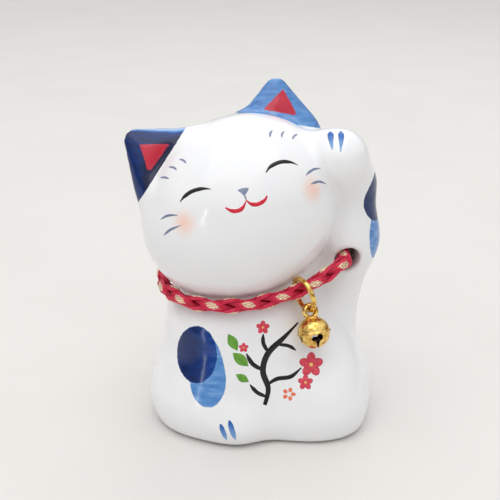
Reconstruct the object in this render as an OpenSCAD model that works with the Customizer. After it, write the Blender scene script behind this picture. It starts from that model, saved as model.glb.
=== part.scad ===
// Beckoning cat figurine: a hollow slip-cast ceramic cat with a braided collar that runs
// through a hole under the raised arm, a split jump ring and a two-part jingle bell.
// Millimetres. Origin: middle of the footprint, on the ground. +X towards the raised arm,
// +Y towards the cat's back, +Z up.

/* [Head] */
// half width of the head along its long axis
head_half_long = 25.9; // [24:0.1:27]
// half depth of the head, front to back
head_half_deep = 22.5; // [20:0.1:24]
// half height of the head
head_half_tall = 23.0; // [21:0.1:25]
// height of the middle of the head
head_z = 56.6; // [55:0.1:58]
// length of an ear from its root to the middle of its round tip
ear_length = 14.3; // [12:0.1:16]
// radius of an ear at its root
ear_root = 12.2; // [10:0.1:13]
// radius of an ear's tip
ear_tip = 3.0; // [2:0.1:4]

/* [Body] */
// half width of the belly
belly_half = 28.1; // [26:0.1:30]
// half depth of the belly
belly_deep = 24.5; // [22:0.1:26]
// half width of the chest
chest_half = 22.6; // [20:0.1:24]
// radius of the raised arm at the elbow
arm_radius = 7.7; // [6.5:0.1:8.5]
// thickness of the fired ceramic wall
wall = 3.0; // [2.5:0.1:3.5]
// radius of the vent hole in the base
vent_radius = 5.0; // [3:0.5:6]
// radius of the hole under the raised arm
arm_hole_radius = 3.1; // [2.6:0.1:3.2]
// grid step of the outer skin: smaller is smoother
skin_step = 2.35; // [2.2:0.05:3]
// grid step of the hollow inside
hollow_step = 3.8; // [3.4:0.1:5]

/* [Collar] */
// radius of the braided cord
cord_radius = 1.75; // [1.5:0.05:2]
// gap between the cord and the glaze
cord_gap = 0.25; // [0.1:0.05:0.6]

/* [Ring and bell] */
// middle radius of the jump ring
ring_radius = 4.15; // [3.8:0.05:4.4]
// radius of the ring's wire
ring_wire = 0.66; // [0.5:0.02:0.7]
// outside radius of the bell
bell_radius = 4.0; // [3.5:0.1:4.5]
// thickness of the bell's sheet
bell_sheet = 0.35; // [0.25:0.05:0.5]
// radius of the hanger loop's wire
loop_wire = 0.5; // [0.4:0.02:0.5]
// middle radius of the hanger loop
loop_radius = 1.5; // [1.3:0.05:1.8]
// radius of the loose pellet inside the bell
pellet_radius = 1.2; // [0.8:0.1:1.6]

/* [Hidden] */
eps = 0.01;

// ---- smooth solids: each function gives the distance from a point to a skin, negative inside
function unit(v) = v / norm(v);
function blend(a, b, k) = let (h = max(k - abs(a - b), 0) / k) min(a, b) - h * h * k / 4;
function carve(a, b, k) = -blend(-a, b, k);
function egg(q, r) = let (a = [q.x / r.x, q.y / r.y, q.z / r.z], k = norm(a))
    k * (k - 1) / max(norm([a.x / r.x, a.y / r.y, a.z / r.z]), 1e-6);
function limb(p, a, b, ra, rb) = let (ba = b - a, h = min(max((p - a) * ba / (ba * ba), 0), 1))
    norm(p - a - h * ba) - ra - (rb - ra) * h;
function round_cone(q, l, r1, r2) = let (s = norm([q.x, q.y]), b = (r1 - r2) / l,
        a = sqrt(1 - b * b), k = -b * s + a * q.z)
    k < 0 ? norm([s, q.z]) - r1 : k > a * l ? norm([s, q.z - l]) - r2 : a * s + b * q.z - r1;

// ---- head: a slightly tilted egg, turned in its own plane
head_c = [-5.6, -4, head_z];
head_r = [head_half_long, head_half_deep, head_half_tall];
hc = cos(36);
hs = sin(36);
function head(p) = let (q = p - head_c) egg([hc * q.x + hs * q.z, q.y, -hs * q.x + hc * q.z], head_r);

// ---- ear: a flattened round cone with a shallow dish in its front
// tip, lean to the side, turn of the face and lean to the back
function ear_axis(ang, lean) = [sin(ang) * cos(lean), sin(lean), cos(ang) * cos(lean)];
function ear_front(u, turn) = let (n = [sin(turn), -cos(turn), 0.15]) unit(n - u * (n * u));
left_tip = [-31.1, -6, 74.0];
left_u = ear_axis(-52, 4);
left_n = ear_front(left_u, 20);
left_w = cross(left_u, left_n);
right_tip = [3.1, 5.5, 85.0];
right_u = ear_axis(-2, 8);
right_n = ear_front(right_u, 8);
right_w = cross(right_u, right_n);
// flatness of the ear and of its dish, how far in front the dish lies, and its rim's softness
ear_flat = 0.46;
dish_flat = 0.55;
dish_front = 6.3;
dish_tip = 1.2;
dish_soft = 1.6;
// a squashed distance is scaled down so that it never oversteps
squash = 0.62;
function ear(p, tip, u, n, w) = let (q = p - tip + ear_length * u, x = q * w, y = q * n, z = q * u)
    carve(squash * round_cone([x, y / ear_flat, z], ear_length, ear_root, ear_tip),
          squash * round_cone([x, (y - dish_front) / dish_flat, z - 1],
                              ear_length - 2.5, ear_root - 3, dish_tip), dish_soft);

// ---- seated body, forelegs, feet, tail and the raised arm
belly_c = [1.3, 2, 6.2];
belly_tall = 20;
chest_c = [-1.9, 1, 27];
chest_deep = 20.5;
chest_tall = 18.3;
trunk_soft = 14;
// rounded limbs: start, end, radius at each and softness of the join
foreleg = [[-13, -11, 26], [-8, -16, 9], 5, 5, 12];
tail = [[3, 22, 7], [11, 23, 12], 4.6, 3.6, 3];
upper_arm = [[17.8, 2, 28], [21.5, 0, 48], 7.8, arm_radius, 5];
forearm = [[21.5, 0, 48], [21.7, -2, 63], arm_radius, 7.3, 6];
// rounded lumps: middle, half sizes and softness of the join
left_paw = [[-5, -20, 4.5], [7.3, 7.3, 5.5], 5];
right_foot = [[14, -15.6, 4.5], [11, 7, 7], 9];
left_haunch = [[-15.6, -9.1, 6.4], [11, 13, 10], 11];
right_haunch = [[16.8, -6.4, 9.1], [9, 13, 11], 11];
nape = [[-1, 5, 40], [18, 13, 14], 6];
raised_paw = [[18.5, -8, 71], [7.7, 8, 7.4], 6];
paw_bridge = [[12.5, -4, 71.5], [5, 6, 4.5], 5];
trunk_lumps = [left_paw, right_foot, left_haunch, right_haunch, nape];
arm_lumps = [raised_paw, paw_bridge];
function with_limb(d, p, l) = blend(d, limb(p, l[0], l[1], l[2], l[3]), l[4]);
function with_lumps(d, p, list, k = 0) = k == len(list) ? d :
    with_lumps(blend(d, egg(p - list[k][0], list[k][1]), list[k][2]), p, list, k + 1);
function trunk(p) = let (
    torso = blend(egg(p - belly_c, [belly_half, belly_deep, belly_tall]),
                  egg(p - chest_c, [chest_half, chest_deep, chest_tall]), trunk_soft))
    with_limb(with_lumps(with_limb(torso, p, foreleg), p, trunk_lumps), p, tail);
function arm(p) = with_lumps(with_limb(limb(p, upper_arm[0], upper_arm[1], upper_arm[2], upper_arm[3]),
                                       p, forearm), p, arm_lumps);
// softness where the ears, the chin and the foot's edge run in
ear_soft = 3;
chin_soft = 2.5;
foot_soft = 2;
function skull(p) = blend(head(p), min(ear(p, left_tip, left_u, left_n, left_w),
                                       ear(p, right_tip, right_u, right_n, right_w)), ear_soft);
function on_ground(d, p) = -blend(-d, p.z, foot_soft);
function figure(p) = on_ground(blend(blend(trunk(p), arm(p), upper_arm[4]), skull(p), chin_soft), p);

// ---- the hole under the arm runs from its front mouth to the back of the neck
hole_a = [23.5, -12.5, 45];
hole_b = [15.4, 15, 43];
hole_lip = 1.2;
function hole(p) = limb(p, hole_a, hole_b, arm_hole_radius, arm_hole_radius);
function open_figure(p) = carve(figure(p), hole(p), hole_lip);
// thin limbs and ears fill up when slip is cast, so only the trunk and the head are hollow
function hollow(p) = wall + carve(on_ground(blend(trunk(p), head(p), chin_soft), p), hole(p), hole_lip);

// ---- a closed skin from a distance: one point in every grid cell that the skin crosses
function slope(f, p) = let (e = 0.05) [f(p + [e, 0, 0]) - f(p - [e, 0, 0]),
    f(p + [0, e, 0]) - f(p - [0, e, 0]), f(p + [0, 0, e]) - f(p - [0, 0, e])] / (2 * e);
function settle(f, p, reach) = let (d = f(p), g = slope(f, p), s = -d * g / max(g * g, 0.2))
    p + s * min(1, reach / max(norm(s), 1e-6));
function ground(p) = abs(p.z) < 0.06 ? [p.x, p.y, 0] : p;
function total(list, k = 0) = k == len(list) ? [0, 0, 0] : list[k] + total(list, k + 1);
function skin(f, lo, n, h, dz) =
    let (nx = n.x, ny = n.y, nxy = nx * ny, count = nxy * n.z,
         at = function (i) lo + h * [i % nx, floor(i / nx) % ny, floor(i / nxy)],
         v = [for (i = [0 : count - 1]) f(at(i))],
         // the twelve edges of a cell, as pairs of corner offsets
         co = [0, 1, nx, nx + 1, nxy, nxy + 1, nxy + nx, nxy + nx + 1],
         eg = [for (axis = [1, 2, 4], k = [0 : 7]) if (floor(k / axis) % 2 == 0) [k, k + axis]],
         inside = function (i) i % nx < nx - 1 && floor(i / nx) % ny < ny - 1 && i < nxy * (n.z - 1),
         act = [for (i = [0 : count - 1]) inside(i) ?
                let (s = v[i] < 0) (v[i + 1] < 0) != s || (v[i + nx] < 0) != s || (v[i + nx + 1] < 0) != s ||
                (v[i + nxy] < 0) != s || (v[i + nxy + 1] < 0) != s || (v[i + nxy + nx] < 0) != s ||
                (v[i + nxy + nx + 1] < 0) != s : false],
         rank = [for (a = 0, i = 0; i < count; a = a + (act[i] ? 1 : 0), i = i + 1) a],
         pts = [for (i = [0 : count - 1]) if (act[i])
                let (x = [for (e = eg) let (a = i + co[e[0]], b = i + co[e[1]])
                          if ((v[a] < 0) != (v[b] < 0)) let (t = v[a] / (v[a] - v[b]))
                          at(a) * (1 - t) + at(b) * t],
                     m = total(x) / len(x), p1 = settle(f, m, h / 2), p2 = settle(f, p1, h / 4))
                dz == 0 ? ground(p2) : p2],
         tri = function (q, flip) let (p = [for (k = q) pts[k]],
                 r = flip ? [q[3], q[2], q[1], q[0]] : q)
                 norm(p[0] - p[2]) < norm(p[1] - p[3]) ? [[r[0], r[1], r[2]], [r[0], r[2], r[3]]]
                 : [[r[1], r[2], r[3]], [r[1], r[3], r[0]]],
         quads = [for (i = [0 : count - 1]) if (i % nx > 0 && floor(i / nx) % ny > 0 && i >= nxy)
                  let (s = v[i] < 0) each concat(
                  i % nx < nx - 1 && (v[i + 1] < 0) != s ?
                      tri([rank[i], rank[i - nx], rank[i - nx - nxy], rank[i - nxy]], s) : [],
                  floor(i / nx) % ny < ny - 1 && (v[i + nx] < 0) != s ?
                      tri([rank[i], rank[i - nxy], rank[i - 1 - nxy], rank[i - 1]], s) : [],
                  i < nxy * (n.z - 1) && (v[i + nxy] < 0) != s ?
                      tri([rank[i], rank[i - 1], rank[i - 1 - nx], rank[i - nx]], s) : [])])
    [pts, quads];

// ---- collar route: round the neck in a tilted plane, across to the arm and through its hole
neck = [-1, 1];
ring_spot = [9.9, -17.15, 39.85];
function neck_at(t, r, z) = [neck.x + r * cos(t), neck.y + r * sin(t), z];
function neck_z(t) = 39.7 + 3.6 * cos(t - 48);
function neck_reach(t, z, off, lo, hi, k) = let (m = (lo + hi) / 2) k == 0 ? m :
    figure(neck_at(t, m, z)) < off ? neck_reach(t, z, off, m, hi, k - 1)
                                   : neck_reach(t, z, off, lo, m, k - 1);
function on_neck(t, z, off) = neck_at(t, neck_reach(t, z, off, 8, 34, 14), z);
cord_off = cord_radius + cord_gap;
route = concat([on_neck(95, neck_z(95), cord_off + 0.8)],
    [for (t = [115 : 20 : 255]) on_neck(t, neck_z(t), cord_off)],
    [on_neck(272, neck_z(272), cord_off), ring_spot],
    [[18.7, -12.9, 44], [21.1, -7.8, 45.3], [18.8, 3.5, 44.3], [15.6, 12.4, 43]],
    [on_neck(72, neck_z(72), cord_off)]);
function cyc(k) = route[(k + 2 * len(route)) % len(route)];
function curve(u) = let (k = floor(u), x = u - k, a = cyc(k - 1), b = cyc(k), c = cyc(k + 1), d = cyc(k + 2))
    (2 * b + (c - a) * x + (2 * a - 5 * b + 4 * c - d) * x * x + (3 * b - a - 3 * c + d) * x * x * x) / 2;
open_skin = function (p) open_figure(p);
function clear_of(p, off, k) = let (m = off - open_figure(p))
    k == 0 || m <= 0 ? p : clear_of(p + m * unit(slope(open_skin, p)), off, k - 1);

// ---- ring and bell: the ring leans out over the chest, turned a little about its own
// upright, and the bell hangs down from it with a small tilt across the wire
lean = 21;
spot_t = unit(cyc(11) - cyc(9));
down0 = unit([0, 0, -1] + spot_t * spot_t.z);
out0 = cross(down0, spot_t);
ring_d = down0 * cos(lean) + out0 * sin(lean);
ring_turn = 14;
front0 = out0 * cos(lean) - down0 * sin(lean);
ring_f = front0 * cos(ring_turn) + spot_t * sin(ring_turn);
ring_n = spot_t * cos(ring_turn) - front0 * sin(ring_turn);
slack = ring_radius - ring_wire - 1.04 * cord_radius - 0.1;
ring_c = ring_spot + slack * (cos(30) * ring_d + sin(30) * ring_f);
hang_d = unit([0, 0, -1] * cos(lean) + out0 * sin(lean));
// lowest point of the ring as the bell sees it
hang_a = atan2(hang_d * ring_f, hang_d * ring_d);
hang = ring_c + ring_radius * (cos(hang_a) * ring_d + sin(hang_a) * ring_f);
hang_t = unit(cos(hang_a) * ring_f - sin(hang_a) * ring_d);
bell_tilt = 5;
bell_d = hang_d * cos(bell_tilt) + cross(hang_t, hang_d) * sin(bell_tilt);
loop_c = hang + bell_d * (loop_radius - loop_wire - ring_wire - 0.05);
bell_c = loop_c + bell_d * (bell_radius + loop_radius - 0.2);
bell_u = unit(-bell_d - hang_t * (-bell_d * hang_t));
bell_s = cross(hang_t, bell_u);

module skin_solid(f, lo, size, h, dz) {
    s = skin(f, lo, [for (k = [0 : 2]) ceil(size[k] / h) + 1], h, dz);
    polyhedron(points = s[0], faces = s[1], convexity = 6);
}

// a bar of radius r from a to b
module bar(a, b, r, fn) {
    d = b - a;
    translate(a) rotate([0, acos(d.z / norm(d)), atan2(d.y, d.x)]) cylinder(h = norm(d), r = r, $fn = fn);
}

// children drawn in a frame with its own origin and three axes
module frame(o, x, y, z) {
    multmatrix([[x.x, y.x, z.x, o.x], [x.y, y.y, z.y, o.y], [x.z, y.z, z.z, o.z], [0, 0, 0, 1]]) children();
}

module ceramic_figure() {
    outer = function (p) figure(p);
    inner = function (p) hollow(p);
    color([0.96, 0.96, 0.97]) difference() {
        skin_solid(outer, [-37.1, -30.3, -3.4], [70, 61, 94], skin_step, 0);
        skin_solid(inner, [-34.3, -28.1, -1.7], [64, 55, 87], hollow_step, 1);
        bar(hole_a, hole_b, arm_hole_radius, 48);
        translate([2, 9, -1]) cylinder(h = wall + 3, r = vent_radius, $fn = 64);
    }
}

// the braid as one round cord, open where the knot holds its two ends
module collar_cord() {
    sides = 8;
    u0 = 0.34;
    u1 = len(route) - 0.3;
    rings = 80;
    mid = [for (k = [0 : rings]) clear_of(curve(u0 + (u1 - u0) * k / rings), cord_off, 3)];
    pts = [for (k = [0 : rings]) let (t = unit(mid[min(k + 1, rings)] - mid[max(k - 1, 0)]),
                n = unit(cross(t, [mid[k].x - neck.x, mid[k].y - neck.y, 0])), b = cross(n, t))
           for (j = [0 : sides - 1]) mid[k] + 1.04 * cord_radius *
               (cos((j + 0.5) * 360 / sides) * b + sin((j + 0.5) * 360 / sides) * n)];
    faces = concat([[for (j = [0 : sides - 1]) j]],
        [for (k = [0 : rings - 1], j = [0 : sides - 1]) let (a = k * sides, i = (j + 1) % sides)
            each [[a + j, a + j + sides, a + i + sides], [a + j, a + i + sides, a + i]]],
        [[for (j = [sides - 1 : -1 : 0]) rings * sides + j]]);
    color([0.76, 0.07, 0.16]) polyhedron(points = pts, faces = faces, convexity = 6);
}

// the knot that closes the collar at the nape, with its two short tails
module collar_knot() {
    c = curve(0);
    t = unit(curve(0.1) - curve(-0.1));
    o = unit([c.x - neck.x, c.y - neck.y, 0] - t * (t * [c.x - neck.x, c.y - neck.y, 0]));
    k = c + 0.2 * o;
    color([0.7, 0.06, 0.14]) union() {
        frame(k, o, cross(t, o), t) intersection() {
            sphere(r = 2.75, $fn = 48);
            cube([8, 8, 4.1], center = true);
        }
        for (a = [88, 101]) {
            tail = on_neck(a, k.z - 6.5, 1.3);
            bar(k, tail, 0.9, 24);
            translate(tail) sphere(r = 0.9, $fn = 24);
        }
    }
}

module jump_ring() {
    color([0.85, 0.66, 0.25]) frame(ring_c, ring_d, ring_f, -ring_n)
        rotate([0, 0, 215]) rotate_extrude(angle = 356, $fn = 72)
            translate([ring_radius, 0]) circle(r = ring_wire, $fn = 32);
}

module bell_half(up) {
    difference() {
        union() {
            sphere(r = bell_radius, $fn = 96);
            translate([0, 0, up ? 0 : -0.25]) cylinder(h = 0.25, r = bell_radius + 0.2, $fn = 96);
        }
        sphere(r = bell_radius - bell_sheet, $fn = 96);
        translate([-8, -8, up ? -16 + eps / 2 : -eps / 2]) cube(16);
        if (!up) for (a = [0, 90]) rotate([0, 0, a + 18]) {
            translate([-8, -0.3, -8]) cube([16, 0.6, 6.9]);
            for (m = [0, 180]) rotate([0, 0, m]) translate([0, 0, -1.35]) rotate([0, 90, 0])
                cylinder(h = 8, r = 1, $fn = 48);
        }
    }
}

module bell_upper_shell() {
    color([0.86, 0.68, 0.26]) frame(bell_c, bell_s, -hang_t, bell_u) rotate([0, 0, 180]) bell_half(true);
}

module bell_lower_shell() {
    color([0.86, 0.68, 0.26]) frame(bell_c, bell_s, -hang_t, bell_u) rotate([0, 0, 90]) bell_half(false);
}

module bell_hanger_loop() {
    color([0.86, 0.68, 0.26]) frame(bell_c, bell_s, -hang_t, bell_u) difference() {
        translate([0, 0, norm(loop_c - bell_c)]) rotate([90, 0, 0])
            rotate_extrude($fn = 64) translate([loop_radius, 0]) circle(r = loop_wire, $fn = 32);
        sphere(r = bell_radius + eps, $fn = 96);
    }
}

module bell_pellet() {
    color([0.5, 0.5, 0.52]) translate(bell_c - bell_u * (bell_radius - bell_sheet - pellet_radius - 0.1))
        sphere(r = pellet_radius, $fn = 48);
}

ceramic_figure();
collar_cord();
collar_knot();
jump_ring();
bell_upper_shell();
bell_lower_shell();
bell_hanger_loop();
bell_pellet();
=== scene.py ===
"""Beckoning cat figurine: glazed and hand painted ceramic, a braided collar, a jump ring and a jingle bell.

Shapes are worked out in millimetres in the CAD model's own frame and built in metres.
+X points to the raised arm, +Y to the cat's back and +Z up."""
from math import cos, pi, radians, sin

import bpy
import numpy as np
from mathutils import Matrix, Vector


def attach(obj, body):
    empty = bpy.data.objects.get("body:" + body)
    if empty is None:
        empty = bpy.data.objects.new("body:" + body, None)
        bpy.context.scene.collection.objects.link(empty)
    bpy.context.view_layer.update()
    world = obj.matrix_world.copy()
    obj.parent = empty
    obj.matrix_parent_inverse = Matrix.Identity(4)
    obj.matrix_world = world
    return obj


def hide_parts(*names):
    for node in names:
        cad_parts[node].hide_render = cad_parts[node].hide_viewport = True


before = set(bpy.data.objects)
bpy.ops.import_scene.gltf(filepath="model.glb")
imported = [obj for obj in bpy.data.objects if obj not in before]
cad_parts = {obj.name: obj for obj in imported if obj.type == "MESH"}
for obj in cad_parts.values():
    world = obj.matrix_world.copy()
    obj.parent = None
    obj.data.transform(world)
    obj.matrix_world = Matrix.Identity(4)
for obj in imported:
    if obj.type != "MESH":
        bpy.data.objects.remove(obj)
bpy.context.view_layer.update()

MM = 0.001
SKIN_STEP = 0.8         # grid step of the ceramic's skin
GRID_LOW, GRID_SIZE = (-37.1, -30.3, -3.4), (70, 61, 94)     # its grid's lowest corner and size
BELL_STEP = 0.13        # grid step of the bell's two shells
WALL = 3.0              # fired ceramic wall
PAINT = 0.07            # how far the painted strokes stand out of the glaze
STROKE_SIDES = 10       # points round a brush stroke
X, Y, Z = np.eye(3)


# ---------------------------------------------------------------- small geometry

def vec(*v):
    return np.array(v, float)


def length(v):
    return np.sqrt((v * v).sum(-1))


def unit(v):
    return v / np.maximum(length(v), 1e-9)[..., None]


def blend(a, b, k):
    """The smaller of two distances, with a fillet of size k where they meet."""
    h = np.maximum(k - abs(a - b), 0) / k
    return np.minimum(a, b) - h * h * k / 4


def carve(a, b, k):
    """Distance a with distance b cut out of it."""
    return -blend(-a, b, k)


def slope(dist, p):
    """The way that dist grows fastest at p."""
    e = 0.03
    return np.stack([dist(p + e * a) - dist(p - e * a) for a in (X, Y, Z)], -1) / (2 * e)


def egg(p, middle, radii):
    """Distance to an ellipsoid."""
    a = (p - middle) / radii
    k = length(a)
    return k * (k - 1) / np.maximum(length(a / radii), 1e-6)


def limb(p, a, b, ra, rb):
    """Distance to a round limb from a to b, of radius ra and rb there."""
    a, b = vec(*a), vec(*b)
    h = np.clip((p - a) @ (b - a) / ((b - a) @ (b - a)), 0, 1)
    return length(p - a - h[..., None] * (b - a)) - ra - (rb - ra) * h


def round_cone(x, y, z, tall, r1, r2):
    """Distance to a ball of radius r1 at the origin drawn out to one of radius r2 at z = tall."""
    s = np.hypot(x, y)
    b = (r1 - r2) / tall
    a = np.sqrt(1 - b * b)
    k = a * z - b * s
    side = a * s + b * z - r1
    tip = np.hypot(s, z - tall) - r2
    return np.where(k < 0, np.hypot(s, z) - r1, np.where(k > a * tall, tip, side))


def smooth(x, lo, hi):
    """0 at lo, 1 at hi and an even S between them."""
    t = np.clip((x - lo) / (hi - lo), 0, 1)
    return t * t * (3 - 2 * t)


# ---------------------------------------------------------------- the cat's shape, as in the CAD model

HEAD, HEAD_HALF, HEAD_TILT = vec(-5.6, -4, 56.6), (25.9, 22.5, 23.0), radians(36)
# an ear: height between the middles of its two round ends, their radii, and its depth over its width
EAR_TALL, EAR_ROOT, EAR_TIP, EAR_FLAT = 14.3, 12.2, 3.0, 0.46
EAR_LIFT = 0.15         # how far its front looks up
SQUASH = 0.62           # brings a flattened ear's distance back near its true size
# the dish in its front, in the same terms, then how far it lies in front and above, and its lip's fillet
DISH_TALL, DISH_ROOT, DISH_TIP, DISH_FLAT = EAR_TALL - 2.5, EAR_ROOT - 3, 1.2, 0.55
DISH_FRONT, DISH_UP, DISH_LIP = 6.3, 1, 1.6


def head(p):
    q = p - HEAD
    c, s = cos(HEAD_TILT), sin(HEAD_TILT)
    turned = np.stack([c * q[..., 0] + s * q[..., 2], q[..., 1], c * q[..., 2] - s * q[..., 0]], -1)
    return egg(turned, 0, HEAD_HALF)


class Ear:
    """A flattened round cone with a shallow dish in its front."""

    def __init__(self, tip, sideways, back, turn):
        a, b, t = radians(sideways), radians(back), radians(turn)
        self.up = vec(sin(a) * cos(b), sin(b), cos(a) * cos(b))
        facing = vec(sin(t), -cos(t), EAR_LIFT)
        self.front = unit(facing - self.up * (facing @ self.up))
        self.across = np.cross(self.up, self.front)
        self.root = vec(*tip) - EAR_TALL * self.up

    def local(self, p):
        """Across, to the front and up from the ear's root."""
        q = p - self.root
        return q @ self.across, q @ self.front, q @ self.up

    def __call__(self, p):
        x, y, z = self.local(p)
        solid = round_cone(x, y / EAR_FLAT, z, EAR_TALL, EAR_ROOT, EAR_TIP)
        return carve(SQUASH * solid, self.dish(p), DISH_LIP)

    def dish(self, p):
        x, y, z = self.local(p)
        y, z = (y - DISH_FRONT) / DISH_FLAT, z - DISH_UP
        return SQUASH * round_cone(x, y, z, DISH_TALL, DISH_ROOT, DISH_TIP)


left_ear = Ear((-31.1, -6, 74.0), -52, 4, 20)
right_ear = Ear((3.1, 5.5, 85.0), -2, 8, 8)

# middle and half sizes
SEAT = ((1.3, 2, 6.2), (28.1, 24.5, 20))
CHEST = ((-1.9, 1, 27), (22.6, 20.5, 18.3))
# both ends and their radii
FORELEG = ((-13, -11, 26), (-8, -16, 9), 5, 5)
TAIL = ((3, 22, 7), (11, 23, 12), 4.6, 3.6)
ELBOW = (21.5, 0, 48)
UPPER_ARM = ((17.8, 2, 28), ELBOW, 7.8, 7.7)
FOREARM = (ELBOW, (21.7, -2, 63), 7.7, 7.3)
# middle, half sizes and fillet of the feet, the haunches and the shoulders, then of the raised paw
TRUNK_LUMPS = (
    ((-5, -20, 4.5), (7.3, 7.3, 5.5), 5),
    ((14, -15.6, 4.5), (11, 7, 7), 9),
    ((-15.6, -9.1, 6.4), (11, 13, 10), 11),
    ((16.8, -6.4, 9.1), (9, 13, 11), 11),
    ((-1, 5, 40), (18, 13, 14), 6))
ARM_LUMPS = (
    ((18.5, -8, 71), (7.7, 8, 7.4), 6),
    ((12.5, -4, 71.5), (5, 6, 4.5), 5))
# the hole under the arm: its ends, its radius and how far its mouths are rounded
HOLE, HOLE_RADIUS, HOLE_LIP = ((23.5, -12.5, 45), (15.4, 15, 43)), 3.1, 1.2
VENT, VENT_RADIUS = vec(2, 9), 5.0


def with_lumps(d, p, lumps):
    for middle, radii, fillet in lumps:
        d = blend(d, egg(p, middle, radii), fillet)
    return d


def trunk(p):
    torso = blend(blend(egg(p, *SEAT), egg(p, *CHEST), 14), limb(p, *FORELEG), 12)
    return blend(with_lumps(torso, p, TRUNK_LUMPS), limb(p, *TAIL), 3)


def arm(p):
    return with_lumps(blend(limb(p, *UPPER_ARM), limb(p, *FOREARM), 6), p, ARM_LUMPS)


def on_ground(d, p):
    """Distance d cut off at the table, with its edge rounded."""
    return -blend(-d, p[..., 2], 2)


def figure(p):
    """The cat with neither its hole nor its hollow."""
    skull = blend(head(p), np.minimum(left_ear(p), right_ear(p)), 3)
    return on_ground(blend(blend(trunk(p), arm(p), 5), skull, 2.5), p)


def hole(p):
    return limb(p, *HOLE, HOLE_RADIUS, HOLE_RADIUS)


def open_figure(p):
    return carve(figure(p), hole(p), HOLE_LIP)


def hollow(p):
    return WALL + carve(on_ground(blend(trunk(p), head(p), 2.5), p), hole(p), HOLE_LIP)


def vent(p):
    return np.maximum(length(p[..., :2] - VENT) - VENT_RADIUS, p[..., 2] - WALL - 2)


def fired_clay(p):
    """The whole ceramic: skin, hollow inside, hole under the arm and vent in the base."""
    return carve(carve(open_figure(p), hollow(p), 0.6), vent(p), 0.8)


# ---------------------------------------------------------------- meshes

def mesh_piece(name, points, faces, body, slot, material, smooth_normals=None, **layers):
    """One piece from points in millimetres. layers are numbers per point that its material reads."""
    me = bpy.data.meshes.new(name)
    me.from_pydata((np.asarray(points) * MM).tolist(), [], [list(map(int, f)) for f in faces])
    me.validate()
    me.shade_smooth()
    for layer, values in layers.items():
        me.attributes.new(layer, "FLOAT", "POINT").data.foreach_set("value", np.asarray(values, np.float32))
    if smooth_normals is not None:
        me.normals_split_custom_set_from_vertices(smooth_normals.tolist())
    me.materials.append(material)
    piece = bpy.data.objects.new(name, me)
    bpy.context.scene.collection.objects.link(piece)
    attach(piece, body)
    return piece


def sign_changes(value, axis):
    """The grid edges along an axis on which value changes sign: where it does, in grid steps, the four
    cells round each edge, and whether value grows along it."""
    near, far = (tuple(slice(s, m - 1 + s) if a == axis else slice(None) for a, m in enumerate(value.shape))
                 for s in (0, 1))
    a, b = value[near], value[far]
    cut = (a < 0) != (b < 0)
    at = np.argwhere(cut)
    part = a[cut] / (a[cut] - b[cut])
    u, v = ((1, 2), (2, 0), (0, 1))[axis]
    ring = []
    for du, dv in ((0, 0), (1, 0), (1, 1), (0, 1)):
        cell = at.copy()
        cell[:, u] -= du
        cell[:, v] -= dv
        ring.append(cell)
    return at + part[:, None] * np.eye(3)[axis], np.stack(ring, 1), a[cut] < 0


def settle(dist, points, step):
    """Moves points that are near dist = 0 onto it."""
    for _ in range(3):
        g = slope(dist, points)
        move = -dist(points)[:, None] * g / np.maximum((g * g).sum(-1), 0.2)[:, None]
        points = points + move * np.minimum(1, 0.5 * step / np.maximum(length(move), 1e-9))[:, None]
    return points


def grid_skin(dist, lo, size, step):
    """A closed quad skin on dist = 0: one point in each grid cell that it crosses, then settled on it."""
    n = [int(np.ceil(s / step)) + 1 for s in size]
    corners = np.stack(np.meshgrid(*[np.arange(k) for k in n], indexing="ij"), -1) * step + vec(*lo)
    value = np.stack([dist(corners[i]) for i in range(n[0])])
    cells = tuple(k - 1 for k in n)
    total = np.zeros(cells + (3,))
    count = np.zeros(cells)
    quads = []
    for axis in range(3):
        at, ring, grows = sign_changes(value, axis)
        for cell in np.moveaxis(ring, 1, 0):
            np.add.at(total, tuple(cell.T), vec(*lo) + step * at)
            np.add.at(count, tuple(cell.T), 1)
        quads.append(np.where(grows[:, None, None], ring, ring[:, ::-1]))
    used = count > 0
    number = np.full(cells, -1)
    number[used] = np.arange(used.sum())
    points = total[used] / count[used][:, None]
    return settle(dist, points, step), number[tuple(np.moveaxis(np.concatenate(quads), -1, 0))]


def tube_faces(count, sides, closed=False):
    """Quads between count rings of points, with a cap on each end unless the tube is closed."""
    faces = []
    for k in range(count if closed else count - 1):
        for j in range(sides):
            i, m = (j + 1) % sides, (k + 1) % count
            faces.append((k * sides + j, k * sides + i, m * sides + i, m * sides + j))
    if not closed:
        faces.append(tuple(range(sides - 1, -1, -1)))
        faces.append(tuple((count - 1) * sides + j for j in range(sides)))
    return faces


def tube(path, up, high, wide, sides=12, ripple=0, lobes=0, turns=None, closed=False):
    """A round or flat tube along path: up is its top's direction and high and wide its half sizes.
    ripple gives it twisted plies: lobes of them, turned by turns (radians) along the path."""
    path = np.asarray(path, float)
    count = len(path)
    ahead = unit(np.roll(path, -1, 0) - np.roll(path, 1, 0)) if closed else unit(np.gradient(path, axis=0))
    side = unit(np.cross(ahead, up))
    top = np.cross(side, ahead)
    around = np.arange(sides) * 2 * pi / sides
    turns = np.zeros(count) if turns is None else turns
    swell = 1 + ripple * np.cos(lobes * around[None] + turns[:, None])
    high = np.broadcast_to(high, count)[:, None] * np.cos(around) * swell
    wide = np.broadcast_to(wide, count)[:, None] * np.sin(around) * swell
    points = path[:, None] + high[..., None] * top[:, None] + wide[..., None] * side[:, None]
    return points.reshape(-1, 3), tube_faces(count, sides, closed)


def joined(parts):
    """Several (points, faces) in one."""
    points, faces, first = [], [], 0
    for p, f in parts:
        points.append(p)
        faces.extend([tuple(i + first for i in face) for face in f])
        first += len(p)
    return np.concatenate(points), faces


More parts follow.
